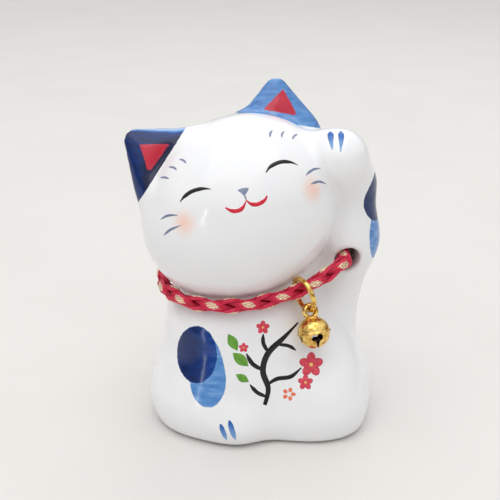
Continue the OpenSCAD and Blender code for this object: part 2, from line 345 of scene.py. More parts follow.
def catmull(knots, count, closed=False):
    """count points on a smooth curve through the knots."""
    knots = np.asarray(knots, float)
    spans = len(knots) if closed else len(knots) - 1
    u = np.arange(count) * spans / (count if closed else count - 1)
    k = np.minimum(np.floor(u).astype(int), spans - 1)
    x = (u - k)[:, None]
    last = len(knots) - 1
    a, b, c, d = (knots[(k + i) % len(knots) if closed else np.clip(k + i, 0, last)] for i in (-1, 0, 1, 2))
    return (2 * b + (c - a) * x + (2 * a - 5 * b + 4 * c - d) * x**2 + (3 * b - a - 3 * c + d) * x**3) / 2


# ---------------------------------------------------------------- materials

def tint(red, green, blue):
    """A colour given as 0 to 255 on screen, as a shader wants it."""
    shares = [c / 255 for c in (red, green, blue)]
    return tuple(((c + 0.055) / 1.055) ** 2.4 if c > 0.04 else c / 12.92 for c in shares) + (1,)


class Look:
    """A node material on one Principled shader, with the few steps that all the looks use."""

    def __init__(self, name, **sockets):
        self.material = bpy.data.materials.new(name)
        self.material.use_nodes = True
        self.tree = self.material.node_tree
        self.shader = self.tree.nodes["Principled BSDF"]
        for socket, value in sockets.items():
            self.shader.inputs[socket.replace("_", " ")].default_value = value

    def node(self, kind, settings, inputs, result):
        made = self.tree.nodes.new("ShaderNode" + kind)
        for key, value in settings.items():
            setattr(made, key, value)
        for key, value in inputs.items():
            if isinstance(value, bpy.types.NodeSocket):
                self.tree.links.new(value, made.inputs[key])
            else:
                made.inputs[key].default_value = value
        return made.outputs[result]

    def place(self, *stretch):
        """Where the point is on the object, in millimetres, stretched for streaks."""
        at = self.node("TexCoord", {}, {}, "Object")
        scale = tuple(s / MM for s in stretch or (1, 1, 1))
        return self.node("Mapping", {}, {"Vector": at, "Scale": scale}, 0)

    def noise(self, where, scale, detail=3):
        return self.node("TexNoise", {}, {"Vector": where, "Scale": scale, "Detail": detail}, "Fac")

    def layer(self, name):
        return self.node("Attribute", {"attribute_name": name}, {}, "Fac")

    def maths(self, operation, a, b=0.0, c=0.0):
        return self.node("Math", {"operation": operation}, {0: a, 1: b, 2: c}, 0)

    def fade(self, value, lo, hi):
        return self.node("MapRange", {"interpolation_type": "SMOOTHSTEP"},
                         {"Value": value, "From Min": lo, "From Max": hi}, 0)

    def ramp(self, value, *stops):
        made = self.tree.nodes.new("ShaderNodeValToRGB")
        self.tree.links.new(value, made.inputs[0])
        while len(made.color_ramp.elements) < len(stops):
            made.color_ramp.elements.new(0.5)
        for element, (at, colour) in zip(made.color_ramp.elements, stops):
            element.position = at
            element.color = colour
        return made.outputs[0]

    def mix(self, share, a, b):
        return self.node("Mix", {"data_type": "RGBA"}, {0: share, 6: a, 7: b}, 2)

    def near(self, where, spot):
        """Distance from a spot, in millimetres."""
        return self.node("VectorMath", {"operation": "DISTANCE"}, {0: where, 1: tuple(spot)}, "Value")

    def set(self, socket, value):
        self.tree.links.new(value, self.shader.inputs[socket])

    def rough(self, value, lo, hi):
        self.set("Roughness", self.node("MapRange", {}, {"Value": value, "To Min": lo, "To Max": hi}, 0))

    def bump(self, height, deep):
        """deep is the relief's height in millimetres."""
        inputs = {"Height": height, "Strength": 1.0, "Distance": deep * MM}
        self.set("Normal", self.node("Bump", {}, inputs, 0))


WHITES = tint(236, 238, 241), tint(245, 245, 246)
PALE_BLUE, SKY, COBALT, NAVY = tint(186, 208, 234), tint(92, 146, 208), tint(16, 62, 140), tint(4, 20, 62)
EAR_REDS = tint(186, 34, 56), tint(206, 50, 70)
# the cheeks' blush, and the reddish-brown painted shade inside the hole under the arm
BLUSH, HOLE_SHADE_TINT = tint(250, 212, 198), tint(96, 48, 50)
BARE_CLAY = tint(214, 206, 194), tint(228, 222, 212)
# the yarn's painted shade, its red and its painted pink sheen
YARN_SHADE, YARN_RED, YARN_SHINE = tint(120, 4, 30), tint(206, 16, 58), tint(238, 70, 110)
TARNISH = tint(74, 40, 26)
CHEEKS = ((-18.3, 47.2), (12.0, 55.9))


def with_blush(look, where, under):
    """A round, wavy blush on each cheek."""
    for across, rise in CHEEKS:
        distance = look.near(where, on_glaze([across], [rise])[0])
        wavy = look.maths("MULTIPLY_ADD", look.noise(where, 0.9), 1.4, distance)
        under = look.mix(look.fade(wavy, 5.2, 0.4), under, BLUSH)
    return under


def with_blue(look, ragged, under):
    """Streaky washes of blue, with darker ones on top. The watery parts are the most uneven."""
    streaks = look.noise(look.place(0.4, 1.0, 1.7), 0.55, 4)
    in_dark = look.fade(look.maths("MULTIPLY_ADD", ragged, 0.4, look.layer("dark")), 0.3, 0.1)
    added = look.maths("SUBTRACT", look.layer("strong"), look.layer("tone"))
    tone = look.maths("MULTIPLY_ADD", in_dark, added, look.layer("tone"))
    watery = look.maths("MULTIPLY_ADD", tone, -0.55, 0.75)
    tone = look.maths("MULTIPLY_ADD", look.maths("SUBTRACT", streaks, 0.5), watery, tone)
    blue = look.ramp(tone, (0.0, PALE_BLUE), (0.33, SKY), (0.66, COBALT), (0.98, NAVY))
    edge = look.maths("MULTIPLY_ADD", ragged, 0.3, look.layer("blue"))
    return look.mix(look.fade(edge, 0.28, 0.06), under, blue)


def with_red(look, where, ragged, under):
    """The red triangles in the ears."""
    edge = look.maths("MULTIPLY_ADD", ragged, 0.4, look.layer("red"))
    return look.mix(look.fade(edge, 0.32, 0.1), under, look.mix(look.noise(where, 0.7), *EAR_REDS))


def glaze_look():
    """Clear glaze over white clay and its paint, a reddish-brown painted shade inside the hole under the arm,
    and the bare clay inside.
    """
    look = Look("painted_glaze", IOR=1.48)
    where = look.place()
    cloud = look.noise(where, 0.09)
    ragged = look.noise(where, 1.1)
    painted = with_blush(look, where, look.mix(cloud, *WHITES))
    painted = with_red(look, where, ragged, with_blue(look, ragged, painted))
    # painted shade: the glaze in the hole is darkened towards its depth, where shade falls
    stained = look.mix(look.layer("stain"), painted, HOLE_SHADE_TINT)
    clay = look.mix(look.noise(where, 2.0), *BARE_CLAY)
    look.set("Base Color", look.mix(look.layer("bare"), stained, clay))
    bare_rough = look.maths("MULTIPLY_ADD", look.layer("bare"), 0.6, look.maths("MULTIPLY", cloud, 0.16))
    look.set("Roughness", look.maths("ADD", bare_rough, 0.05))
    look.bump(look.noise(where, 0.16, 2), 0.12)
    return look.material


def enamel_look(name, dark, light, gloss=0.2):
    """Brushed enamel: streaks of a darker and a lighter tone, as the brush leaves them."""
    look = Look(name, IOR=1.45)
    where = look.place()
    streaks = look.noise(look.place(1.0, 1.0, 0.4), 1.8, 4)
    look.set("Base Color", look.ramp(streaks, (0.3, dark), (0.7, light)))
    look.rough(look.noise(where, 1.2), gloss, gloss + 0.15)
    look.bump(look.noise(where, 2.5), 0.01)
    return look.material


def wash_look(name, *stops):
    """Blue brush strokes, strong where the brush was set down and watery where it was lifted."""
    look = Look(name, IOR=1.45)
    where = look.place()
    tone = look.maths("MULTIPLY_ADD", look.noise(look.place(1.0, 1.0, 0.5), 1.4, 4), 0.4, look.layer("tone"))
    look.set("Base Color", look.ramp(look.maths("SUBTRACT", tone, 0.2), *stops))
    look.rough(look.noise(where, 1.2), 0.15, 0.3)
    return look.material


def yarn_look():
    """Twisted rayon yarn: fine fibres, with painted shade between the plies and where a strand dips under
    another, and a painted pink sheen on the plies' crests.
    """
    look = Look("crimson_yarn", Sheen_Weight=0.05, Sheen_Roughness=0.3, IOR=1.4)
    where = look.place()
    fibres = look.noise(where, 4.5, 4)
    # painted shade in the grooves between plies and a painted sheen on their crests
    plies = look.maths("MULTIPLY_ADD", look.layer("ply"), 0.14, 0.1)
    shade = look.maths("MULTIPLY", look.layer("crest"), look.maths("MULTIPLY_ADD", fibres, 0.95, plies))
    look.set("Base Color", look.ramp(shade, (0.1, YARN_SHADE), (0.42, YARN_RED), (0.78, YARN_SHINE)))
    look.rough(fibres, 0.28, 0.6)
    look.bump(fibres, 0.05)
    return look.material


def metal_look(name, dark, light, gloss, patch=0.7, dents=0.03):
    """Polished metal: uneven plating, faint wipes and, inside a hollow part, dull tarnish."""
    look = Look(name, Metallic=1.0)
    where = look.place()
    patches = look.noise(where, patch, 4)
    plated = look.ramp(patches, (0.3, dark), (0.6, light))
    look.set("Base Color", look.mix(look.layer("inside"), plated, TARNISH))
    wipes = look.noise(look.place(1, 1, 5), 1.4, 4)
    dull = look.maths("MULTIPLY_ADD", look.layer("inside"), 0.5, look.maths("MULTIPLY", wipes, 0.16))
    look.set("Roughness", look.maths("ADD", dull, gloss))
    look.bump(look.noise(where, 0.75, 2), dents)
    return look.material


# ---------------------------------------------------------------- where the paint lies

# the paint is placed on a plane in front of the cat that leans back 20 degrees
PLANE_LEAN = radians(20)
AHEAD = vec(0, cos(PLANE_LEAN), -sin(PLANE_LEAN))
RISE = vec(0, sin(PLANE_LEAN), cos(PLANE_LEAN))
PLANE_OFF = 70          # how far in front of the CAD's origin it stands


def on_glaze(across, rise, lift=0.0):
    """The glaze's point straight behind (across, rise) of the leaning plane, lifted off the glaze by lift."""
    across, rise = np.atleast_1d(across).astype(float), np.atleast_1d(rise).astype(float)
    p = across[:, None] * X + rise[:, None] * RISE - PLANE_OFF * AHEAD
    for _ in range(70):
        p = p + AHEAD * (0.8 * figure(p))[:, None]
    normal = unit(slope(figure, p))
    return p + normal * np.broadcast_to(lift, across.shape)[:, None]


def stroke(points, wide, start=0.25, end=0.25, lead=0.35, tail=0.35):
    """One brush stroke: a thin lens of paint along a smooth curve, widest between its lead and its tail.
    start and end are its width at its ends, as shares of wide."""
    line = catmull(points, 8 * len(points))
    u = np.linspace(0, 1, len(line))
    ahead = unit(np.gradient(line, axis=0))
    side = np.stack([-ahead[:, 1], ahead[:, 0]], -1)
    swell, fade = start + (1 - start) * smooth(u, 0, lead), end + (1 - end) * smooth(1 - u, 0, tail)
    half = wide / 2 * np.minimum(swell, fade)
    around = np.arange(STROKE_SIDES) * 2 * pi / STROKE_SIDES
    flat = line[:, None] + side[:, None] * (half[:, None] * np.cos(around))[..., None]
    lift = PAINT * np.broadcast_to(np.sin(around), flat.shape[:2])
    points = on_glaze(flat[..., 0].ravel(), flat[..., 1].ravel(), lift.ravel())
    return points, tube_faces(len(line), STROKE_SIDES)


def daub(outline, rings=6):
    """A filled dab of paint: a thin lens inside a closed outline."""
    outline = np.asarray(outline, float)
    middle, count = outline.mean(0), len(outline)
    around = np.linspace(0, pi, 2 * rings + 1)[1:-1]
    flat = middle + (outline - middle)[None] * np.sin(around)[:, None, None]
    flat = np.concatenate([middle[None], flat.reshape(-1, 2), middle[None]])
    lift = PAINT * np.concatenate([[1], np.repeat(np.cos(around), count), [-1]])
    points = on_glaze(flat[:, 0], flat[:, 1], lift)
    faces, last = [], len(points) - 1
    for j in range(count):
        i = (j + 1) % count
        faces.append((0, 1 + j, 1 + i))
        for k in range(len(around) - 1):
            a, b = 1 + k * count, 1 + (k + 1) * count
            faces.append((a + j, b + j, b + i, a + i))
        faces.append((last, last - count + i, last - count + j))
    return points, faces


def oval(middle, half, lean=0.0, count=28, pinch=0.0):
    """An oval outline; pinch draws its two ends to points."""
    t = np.arange(count) * 2 * pi / count
    x = half[0] * np.cos(t)
    y = half[1] * np.sin(t) * (1 - pinch * np.cos(t) ** 2)
    c, s = cos(radians(lean)), sin(radians(lean))
    return np.stack([middle[0] + c * x - s * y, middle[1] + s * x + c * y], -1)


def paint(name, parts, material, tone=None):
    """One piece of paint. tone(points of a part) is how strong a wash is there."""
    points, faces = joined(parts)
    layers = {} if tone is None else {"tone": np.concatenate([tone(p) for p, _ in parts])}
    return mesh_piece(name, points, faces, "figure", "glaze", material, **layers)


# ---------------------------------------------------------------- the ceramic

# washes of blue on the front: middle and half sizes in the leaning plane
LEG_DARK = ((-15.7, 14.8), (5.2, 7.2))
LEG_PALE = ((-12.7, 8.2), (4.5, 6.5))
LEG_SIDE = ((-12.9, 12.6), (3.6, 6.6))
# washes of blue round the arm, the back and the tail: middle and half sizes
ROUND_DARK = (
    ((30.0, -3.0, 60.4), (6.3, 7.5, 6.7)),
    ((-8.0, 25.0, 29.0), (8.0, 9.0, 6.0)),
    ((12.0, 27.0, 12.0), (6.0, 6.0, 4.0)))
ROUND_PALE = (
    ((30.2, -2.5, 50.5), (4.0, 6.5, 7.5)),
    ((-3.0, 26.0, 23.5), (7.0, 8.0, 4.5)))
# each ear's height and lean of the blue's lower edge, tones of its dish and its outside, and the corners
# of its red triangle, in its own frame; the left ear's darker dish tone is painted shade on the dish's walls
EAR_PAINT = (
    (left_ear, 5.9, 0.1, 1.0, 0.86, ((-0.3, 13.2), (-4.5, 7.2), (4.3, 7.5))),
    (right_ear, 6.8, -0.22, 0.3, 0.4, ((1.6, 14.5), (-3.8, 9.7), (5.0, 7.9))))
# how dark the pale washes are, the dark ones, and the right edge of the dark one on the leg
PALE_TONE, DARK_TONE, LEG_TONE = 0.34, 0.88, 0.64
NOT_HERE = 9.0          # a distance at which no paint shows


def oval_distance(x, y, middle, half):
    a = np.hypot((x - middle[0]) / half[0], (y - middle[1]) / half[1])
    return (a - 1) * min(half)


def corner_distance(x, y, corners):
    """Distance outside a triangle, less than 0 inside it."""
    corners = [vec(*c) for c in corners]
    middle = sum(corners) / 3
    sides = []
    for a, b in zip(corners, corners[1:] + corners[:1]):
        out = unit(vec(b[1] - a[1], a[0] - b[0]))
        out = out if out @ (a - middle) > 0 else -out
        sides.append((x - a[0]) * out[0] + (y - a[1]) * out[1])
    return np.max(sides, axis=0)


def nearest(p, eggs):
    return np.min([egg(p, middle, half) for middle, half in eggs], axis=0)


def paint_layers(p):
    """The paint on the glaze at each point: distances to the blue, to its dark part and to the red,
    and how strong the dark and the other blue are. The ears' tone holds painted shade in the left ear's dish
    and a painted highlight where their rims face up."""
    x, rise, front = p[:, 0], p @ RISE, p[:, 1] < -2
    far = np.full(len(p), NOT_HERE)
    dark = np.minimum(np.where(front, oval_distance(x, rise, *LEG_DARK), far), nearest(p, ROUND_DARK))
    pale = blend(oval_distance(x, rise, *LEG_PALE), oval_distance(x, rise, *LEG_SIDE), 2)
    blue = np.minimum(dark, np.minimum(np.where(front, pale, far), nearest(p, ROUND_PALE)))
    on_leg = np.where(front & (x < 0), smooth(x, -17, -10.5), 0)
    strong = DARK_TONE - (DARK_TONE - LEG_TONE) * on_leg
    tone, red = np.full(len(p), PALE_TONE), far
    for ear, base, lean, dish_tone, outer_tone, corners in EAR_PAINT:
        across, forward, up = ear.local(p)
        beside = ear(p) - 3
        d = np.maximum(base + lean * across - up, beside)
        # the dish's share of the ear's tone: on the left ear, a darker painted shade on the dish's walls
        inner = smooth(ear.dish(p), 1.6, 0.2) * (forward > 0)
        # paler where the rim faces up: a painted highlight, partly paint thinning at the edge
        rim = smooth(unit(slope(ear, p))[:, 2], 0.8, 0.97) * (1 - inner) * (outer_tone - 0.1)
        tone = np.where(d < 0.6, outer_tone + (dish_tone - outer_tone) * inner - rim, tone)
        blue = np.minimum(blue, d)
        triangle = np.maximum(corner_distance(across, up, corners), beside)
        red = np.minimum(red, np.where(forward > 0, triangle, far))
    return {"blue": blue, "dark": dark, "red": red, "strong": strong, "tone": tone}


def ceramic():
    points, faces = grid_skin(fired_clay, GRID_LOW, GRID_SIZE, SKIN_STEP)
    points[abs(points[:, 2]) < 0.05, 2] = 0
    depth, bore = -figure(points), hole(points)
    in_hole = (bore < 0.8) & (depth > 0.3)
    # painted shade in the hole under the arm, darker the deeper into the hole
    stain = np.where(in_hole, smooth(depth, 0.8, 6.0), 0)
    base = smooth(-points[:, 2], -0.35, -0.1)
    bare = np.where(in_hole, 0, np.maximum(smooth(depth, 0.4, 1.0), base))
    normals = unit(slope(fired_clay, points))
    piece = mesh_piece("painted_cat", points, faces, "figure", "glaze", glaze_look(), normals,
                       stain=stain, bare=bare, **paint_layers(points))
    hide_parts("ceramic_figure")


# ---------------------------------------------------------------- the face and the other strokes

def even(tone):
    """The same tone all along a stroke."""
    return lambda p: np.full(len(p), tone)


def fading(p):
    """Strong at the top and watery at the foot of each stroke."""
    rise = p @ RISE
    return 0.2 + 0.8 * (rise - rise.min()) / max(np.ptp(rise), 1e-6)


def eyes():
    left = [(-19.3, 52.2), (-18.2, 53.5), (-16.4, 54.7), (-14.0, 55.3), (-11.9, 55.2)]
    right = [(0.9, 59.3), (1.7, 60.5), (3.0, 61.4), (4.6, 62.0), (6.7, 62.0), (8.4, 61.4)]
    paint("painted_eyes", [stroke(left, 0.95, 0.2, 0.2), stroke(right, 0.95, 0.3, 0.15)],
          enamel_look("black_enamel", tint(8, 8, 10), tint(22, 22, 28)))


def mouth():
    left = [(-8.4, 50.9), (-7.3, 50.3), (-6.2, 50.1), (-5.0, 50.4), (-4.2, 51.2), (-3.6, 52.6)]
    right = [(-3.6, 52.7), (-2.6, 51.9), (-1.5, 51.7), (-0.4, 52.0), (0.7, 52.8), (1.2, 53.8)]
    paint("painted_mouth", [stroke(left, 0.95, 0.4), stroke(right, 0.95, 0.3, 0.4)],
          enamel_look("red_enamel", tint(200, 26, 52), tint(222, 48, 70)))


def nose(blue):
    rim = [(-5.6, 55.0), (-4.4, 55.5), (-3.1, 55.5), (-3.4, 54.6), (-4.1, 53.8), (-4.9, 54.4)]
    line = stroke([(-4.1, 54.0), (-3.8, 53.3), (-3.6, 52.8)], 0.4, 0.8, 0.5)
    paint("painted_nose", [daub(catmull(rim, 30, True)), line], blue, even(0.62))


def whiskers(blue):
    lines = (
        [(-24.2, 48.1), (-23.0, 48.8), (-21.8, 49.1), (-19.8, 49.1)],
        [(-23.4, 44.3), (-22.5, 45.1), (-21.2, 45.9), (-19.0, 46.7)],
        [(10.3, 59.0), (11.3, 60.0), (12.4, 60.7), (13.9, 61.0)],
        [(11.6, 57.0), (12.6, 57.5), (13.9, 57.8), (15.4, 57.3)])
    paint("painted_whiskers", [stroke(line, 0.6) for line in lines], blue, even(0.75))


def brow_dashes(blue):
    """Three short dashes above each eye, each bowed a little."""
    dashes = []
    for a, b, bow in (
            ((-20.0, 62.7), (-18.1, 61.5), 0.2),
            ((-22.6, 60.9), (-20.4, 59.9), 0.25),
            ((-24.7, 58.4), (-22.3, 57.9), 0.15),
            ((2.3, 69.9), (1.7, 68.0), -0.2),
            ((5.2, 69.9), (4.5, 68.1), -0.2),
            ((8.4, 69.4), (7.1, 67.8), -0.2)):
        middle = ((a[0] + b[0]) / 2 + bow, (a[1] + b[1]) / 2 + abs(bow))
        dashes.append(stroke([a, middle, b], 0.55))
    paint("painted_brow_dashes", dashes, blue, even(0.62))


def face():
    eyes()
    mouth()
    blue = wash_look("slate_strokes", (0.2, tint(168, 178, 200)), (0.9, tint(98, 110, 142)))
    nose(blue)
    whiskers(blue)
    brow_dashes(blue)


def toes():
    """Two drops on the raised paw and two on the front foot, dark where the brush was set down."""
    blue = wash_look("blue_strokes", (0.0, tint(196, 214, 238)), (0.35, tint(122, 166, 220)),
                     (0.85, tint(40, 98, 178)))
    raised = [stroke([(16.3, 70.0), (16.3, 67.7), (16.6, 65.4)], 1.5, 0.4, 0.3, lead=0.2, tail=0.8),
              stroke([(18.8, 70.1), (18.7, 67.5), (18.5, 64.8)], 1.45, 0.4, 0.2, lead=0.2, tail=0.8)]
    paint("painted_paw_toes", raised, blue, fading)
    foot = [stroke([(-9.4, -2.3), (-8.7, -4.2), (-7.8, -6.5)], 1.2, 0.4, 0.25),
            stroke([(-7.2, -1.3), (-6.5, -3.6), (-5.6, -6.3)], 1.3, 0.4, 0.25)]
    paint("painted_foot_toes", foot, blue, fading)


def branch():
    """A stem and its twigs, each with its width and how blunt its root is."""
    twigs = [stroke(line, wide, blunt, 0.3) for line, wide, blunt in (
        ([(1.6, 2.4), (2.4, 6.5), (1.0, 11.0), (2.2, 15.5), (6.2, 19.6), (9.6, 23.2)], 1.5, 0.7),
        ([(2.2, 7.6), (4.6, 9.0), (8.0, 9.6), (10.6, 11.8)], 1.1, 0.6),
        ([(1.1, 11.2), (-1.6, 12.8), (-3.2, 15.4)], 1.1, 0.6),
        ([(2.3, 15.7), (1.0, 18.0), (0.9, 20.4)], 1.0, 0.6),
        ([(4.2, 17.8), (7.2, 17.4), (9.2, 16.2)], 0.9, 0.6),
        ([(2.1, 4.4), (-0.4, 5.6), (-2.2, 7.6)], 1.0, 0.6))]
    paint("painted_branch", twigs, enamel_look("branch_enamel", tint(10, 10, 13), tint(28, 28, 34)))


def leaves():
    dabs = [daub(oval(middle, half, lean, 28, 0.75)) for middle, half, lean in (
        ((-6.6, 18.2), (2.4, 1.25), 120),
        ((-4.6, 13.9), (2.6, 1.35), 140),
        ((-4.1, 9.2), (1.9, 1.0), 150))]
    paint("painted_leaves", dabs, enamel_look("leaf_enamel", tint(74, 140, 44), tint(122, 176, 70)))


def petals(middle, out, half, first, count):
    """Five oval dabs round a middle, the first at an angle in degrees."""
    turns = [first + 72 * k for k in range(5)]
    spots = [(middle[0] + out * cos(radians(t)), middle[1] + out * sin(radians(t))) for t in turns]
    return [daub(oval(spot, half, t, count), 3) for spot, t in zip(spots, turns)]


def blossoms():
    """Plum blossoms with yellow hearts, and a small orange flower."""
    flowers, hearts = [], []
    for middle, size in (((13.1, 12.6), 2.0), ((11.7, 8.2), 1.25), ((0.8, 22.0), 1.1), ((-3.9, 16.9), 0.8)):
        flowers += petals(middle, size * 0.85, (size * 0.72, size * 0.56), 90, 18)
        hearts.append(daub(oval(middle, (size * 0.26, size * 0.26), 0, 12), 3))
    paint("painted_blossoms", flowers, enamel_look("blossom_enamel", tint(204, 44, 70), tint(226, 84, 102)))
    paint("painted_bud_flower", petals((7.6, 5.2), 1.1, (0.62, 0.5), 0, 14),
          enamel_look("orange_enamel", tint(230, 104, 72), tint(240, 140, 104)))
    paint("painted_stamens", hearts, enamel_look("yellow_enamel", tint(238, 196, 92), tint(246, 216, 130)))


def sprig():
    """A generic plum sprig in brush strokes on the chest."""
    branch()
    leaves()
    blossoms()


# ---------------------------------------------------------------- collar

CORD_OFF = 2.0              # the cord's middle from the glaze
CORD_RADIUS = 1.75
NECK = vec(-1, 1, 0)
RING_SPOT = vec(9.9, -17.15, 39.85)
RING_PLACE = 10             # the ring's spot among the route's points
ARM_ROUTE = ((18.7, -12.9, 44), (21.1, -7.8, 45.3), (18.8, 3.5, 44.3), (15.6, 12.4, 43))
STRAND_PITCH = 17.2         # one turn of a strand round the braid
STRAND_MIDDLE, STRAND_WEAVE = 0.93, 0.3     # its middle off the cord's, and how far it weaves in and out
STRAND_HIGH, STRAND_WIDE = 0.6, 1.08        # its half thickness and half width
STRAND_SWING = 0.3          # how far a strand runs along the cord on top and hurries round below
STRAND_SIDES = 30
PLIES, PLY_PITCH = 6, 2.6   # plies in a strand, and the length of one twist of them
BRAID_TURN = radians(-22)   # the row of gold threads faces a little up
GOLD_SHIFTS = (-0.52, -0.26, 0, 0.26, 0.52)     # gold threads, to each side of a strand's middle
GOLD_WAVE = 1.1             # the length of one wave of a gold thread
KNOT_TURNS, KNOT_RADIUS, KNOT_PITCH = 2.3, 1.6, 1.75


def on_neck(angle, height, off):
    """The point at an angle round the neck, in degrees, that lies off the glaze by off."""
    way = vec(cos(radians(angle)), sin(radians(angle)), 0)
    lo, hi = 8.0, 34.0
    for _ in range(14):
        middle = (lo + hi) / 2
        inside = figure(NECK + middle * way + height * Z) < off
        lo, hi = (middle, hi) if inside else (lo, middle)
    return NECK + (lo + hi) / 2 * way + height * Z


def neck_height(angle):
    """The cord's height: highest behind the raised arm and lowest in front on the other side."""
    return 39.7 + 3.6 * cos(radians(angle - 48))


def collar_route():
    """The cord's points, as in the CAD model: from the nape round the neck and through the arm's hole."""
    round_neck = [on_neck(a, neck_height(a), CORD_OFF) for a in (*range(115, 256, 20), 272)]
    return np.array([on_neck(95, neck_height(95), CORD_OFF + 0.8), *round_neck, RING_SPOT, *ARM_ROUTE,
                     on_neck(72, neck_height(72), CORD_OFF)])


def collar_path(step=0.35):
    """The cord's middle at even steps all the way round, kept off the glaze."""
    path = catmull(collar_route(), 600, closed=True)
    for _ in range(3):
        short = np.maximum(CORD_OFF - open_figure(path), 0)
        path = path + short[:, None] * unit(slope(open_figure, path))
    path = np.concatenate([path, path[:1]])
    along = np.concatenate([[0], np.cumsum(length(np.diff(path, axis=0)))])
    s = np.linspace(0, along[-1], int(along[-1] / step) + 1)
    return np.stack([np.interp(s, along, path[:, k]) for k in range(3)], -1), s


def cord_frame(path):
    """Ahead, away from the neck and sideways at each point of a cord."""
    ahead = unit(np.gradient(path, axis=0))
    out = path - NECK
    out[:, 2] = 0
    out = unit(out - ahead * (out * ahead).sum(-1)[:, None])
    return ahead, out, np.cross(ahead, out)


def gold_threads(strand, away, over, s):
    """The gold threads along one strand: they show where it passes over, and sink in where it dips."""
    across = np.cross(unit(np.gradient(strand, axis=0)), away)
    threads = []
    for shift in GOLD_SHIFTS:
        shown = smooth(over, 0.02 + 1.1 * abs(shift), 0.5 + 0.75 * abs(shift))
        lift = STRAND_HIGH - 0.32 - 0.12 * abs(shift) + 0.37 * shown
        wave = shift * (0.75 + 0.4 * shown) + 0.07 * np.sin(s * 2 * pi / GOLD_WAVE + shift * 11)
        threads.append(tube(strand + lift[:, None] * away + wave[:, None] * across, away, 0.13, 0.12, 6))
    return threads


def braid(path, s):
    """Four strands, two each way round, that pass over and under each other, with gold threads on top."""
    _, out, side = cord_frame(path)
    yarn, gold, crests, plies = [], [], [], []
    cell = 4 * pi * s / STRAND_PITCH
    around = np.arange(STRAND_SIDES) * 2 * pi / STRAND_SIDES
    twist = s * 2 * pi / PLY_PITCH
    for way in (1, -1):
        for start in (0, pi):
            over = way * np.cos(cell)
            turn = way * (cell / 2 - way * STRAND_SWING * np.sin(cell)) + start + BRAID_TURN
            away = np.cos(turn)[:, None] * out + np.sin(turn)[:, None] * side
            strand = path + (STRAND_MIDDLE + STRAND_WEAVE * over)[:, None] * away
            wide = STRAND_WIDE + 0.16 * over
            yarn.append(tube(strand, away, STRAND_HIGH, wide, STRAND_SIDES, 0.1, PLIES, twist))
            # painted shade where a strand dips under another, and between its plies
            crests.append(np.repeat(0.7 + 0.3 * over, STRAND_SIDES))
            plies.append(np.cos(PLIES * around + twist[:, None]).ravel())
            gold += gold_threads(strand, away, over, s)
    return joined(yarn), joined(gold), np.concatenate(crests), np.concatenate(plies)


def collar(yarn_material, gold_material):
    """The braid and its gold threads. The cord's path is given back for the knot."""
    path, s = collar_path()
    (points, faces), (gold_points, gold_faces), crest, ply = braid(path[3:-3], s[3:-3])
    cord = mesh_piece("collar_braid", points, faces, "figure", "braid", yarn_material, crest=crest, ply=ply)
    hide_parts("collar_cord")
    mesh_piece("collar_gold_threads", gold_points, gold_faces, "figure", "gilt_brass", gold_material)
    return path


def frayed_end(end, out, rng):
    """Loose fibres that hang from a tail's end."""
    fibres = []
    for _ in range(16):
        off = rng.normal(0, 0.36, 3)
        tip = end + off * 1.3 + vec(0, 0, -rng.uniform(0.9, 1.7)) + 0.15 * out
        fibre = catmull([end + off + vec(0, 0, 0.3), (end + tip) / 2 + off * 0.8, tip], 6)
        thin = np.linspace(0.16, 0.09, 6)
        fibres.append(tube(fibre, out, thin, thin, 6))
    return fibres


def knot(path, yarn_material):
    """The cord's ends wound round themselves at the nape, with two short frayed tails."""
    ahead, out, side = (a[0] for a in cord_frame(path[:3]))
    middle = path[0] + 0.2 * out
    t = np.linspace(0, KNOT_TURNS * 2 * pi, 90)
    away = np.cos(t)[:, None] * out + np.sin(t)[:, None] * side
    coil = middle + KNOT_RADIUS * away + (t / (2 * pi) - KNOT_TURNS / 2)[:, None] * KNOT_PITCH * ahead
    parts = [tube(coil, away, 0.98, 0.98, 20, ripple=0.06, lobes=5, turns=t * 3)]
    rng = np.random.default_rng(7)
    for angle, spread in ((88, 0.5), (101, -0.5)):
        end = on_neck(angle, middle[2] - 6.5, 1.3)
        start = middle + spread * ahead
        tail = catmull([start, start + 0.35 * (end - start) + 0.9 * out, end], 24)
        twist = np.linspace(0, 16, 24)
        parts.append(tube(tail, out, 0.85, 0.85, 16, ripple=0.08, lobes=4, turns=twist))
        parts += frayed_end(end, out, rng)
    points, faces = joined(parts)
    # the knot gets one even painted shading all over
    piece = mesh_piece("collar_tied_knot", points, faces, "figure", "braid", yarn_material,
                       crest=np.full(len(points), 0.85), ply=np.full(len(points), 0.2))
    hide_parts("collar_knot")


# ---------------------------------------------------------------- ring and bell

RING_RADIUS, RING_WIRE = 4.15, 0.66
RING_SPLIT, RING_POINTS = 215, 97       # the split's angle in degrees, and points along the wire
LOOP_RADIUS, LOOP_WIRE = 1.5, 0.5
BELL_RADIUS, BELL_SHEET, RIM = 4.0, 0.35, 0.22      # RIM is the bead where the cups meet
LEAN = radians(21)          # how far the ring and the bell hang out from plumb, as the chest slopes
RING_TURN = radians(14)     # the ring's turn about the line that it hangs along
RING_SLIDE = radians(30)    # how far round from the ring's top the cord bears on it
BELL_TILT = radians(5)      # the bell's sideways tilt on the ring
KEYHOLE_TURN = radians(-18)
# a keyhole: its slit's half width and upper end, its heart's two round lobes and the heart's narrow end
SLIT, SLIT_TOP = 0.26, -1.2
LOBE, LOBE_SIDE, LOBE_UP = 0.8, 0.64, -1.02
POINT, POINT_UP = 0.5, -2.0
# the small cap on the bell's top and the bead round it
CROWN, CROWN_UP, CROWN_BEAD = 1.35, 3.74, 0.2
# the size of a cup's grid and its lowest corner for each cup
CUP_GRID, UPPER_LOW, LOWER_LOW = (9.1, 9.1, 4.8), (-4.55, -4.55, -0.35), (-4.55, -4.55, -4.45)


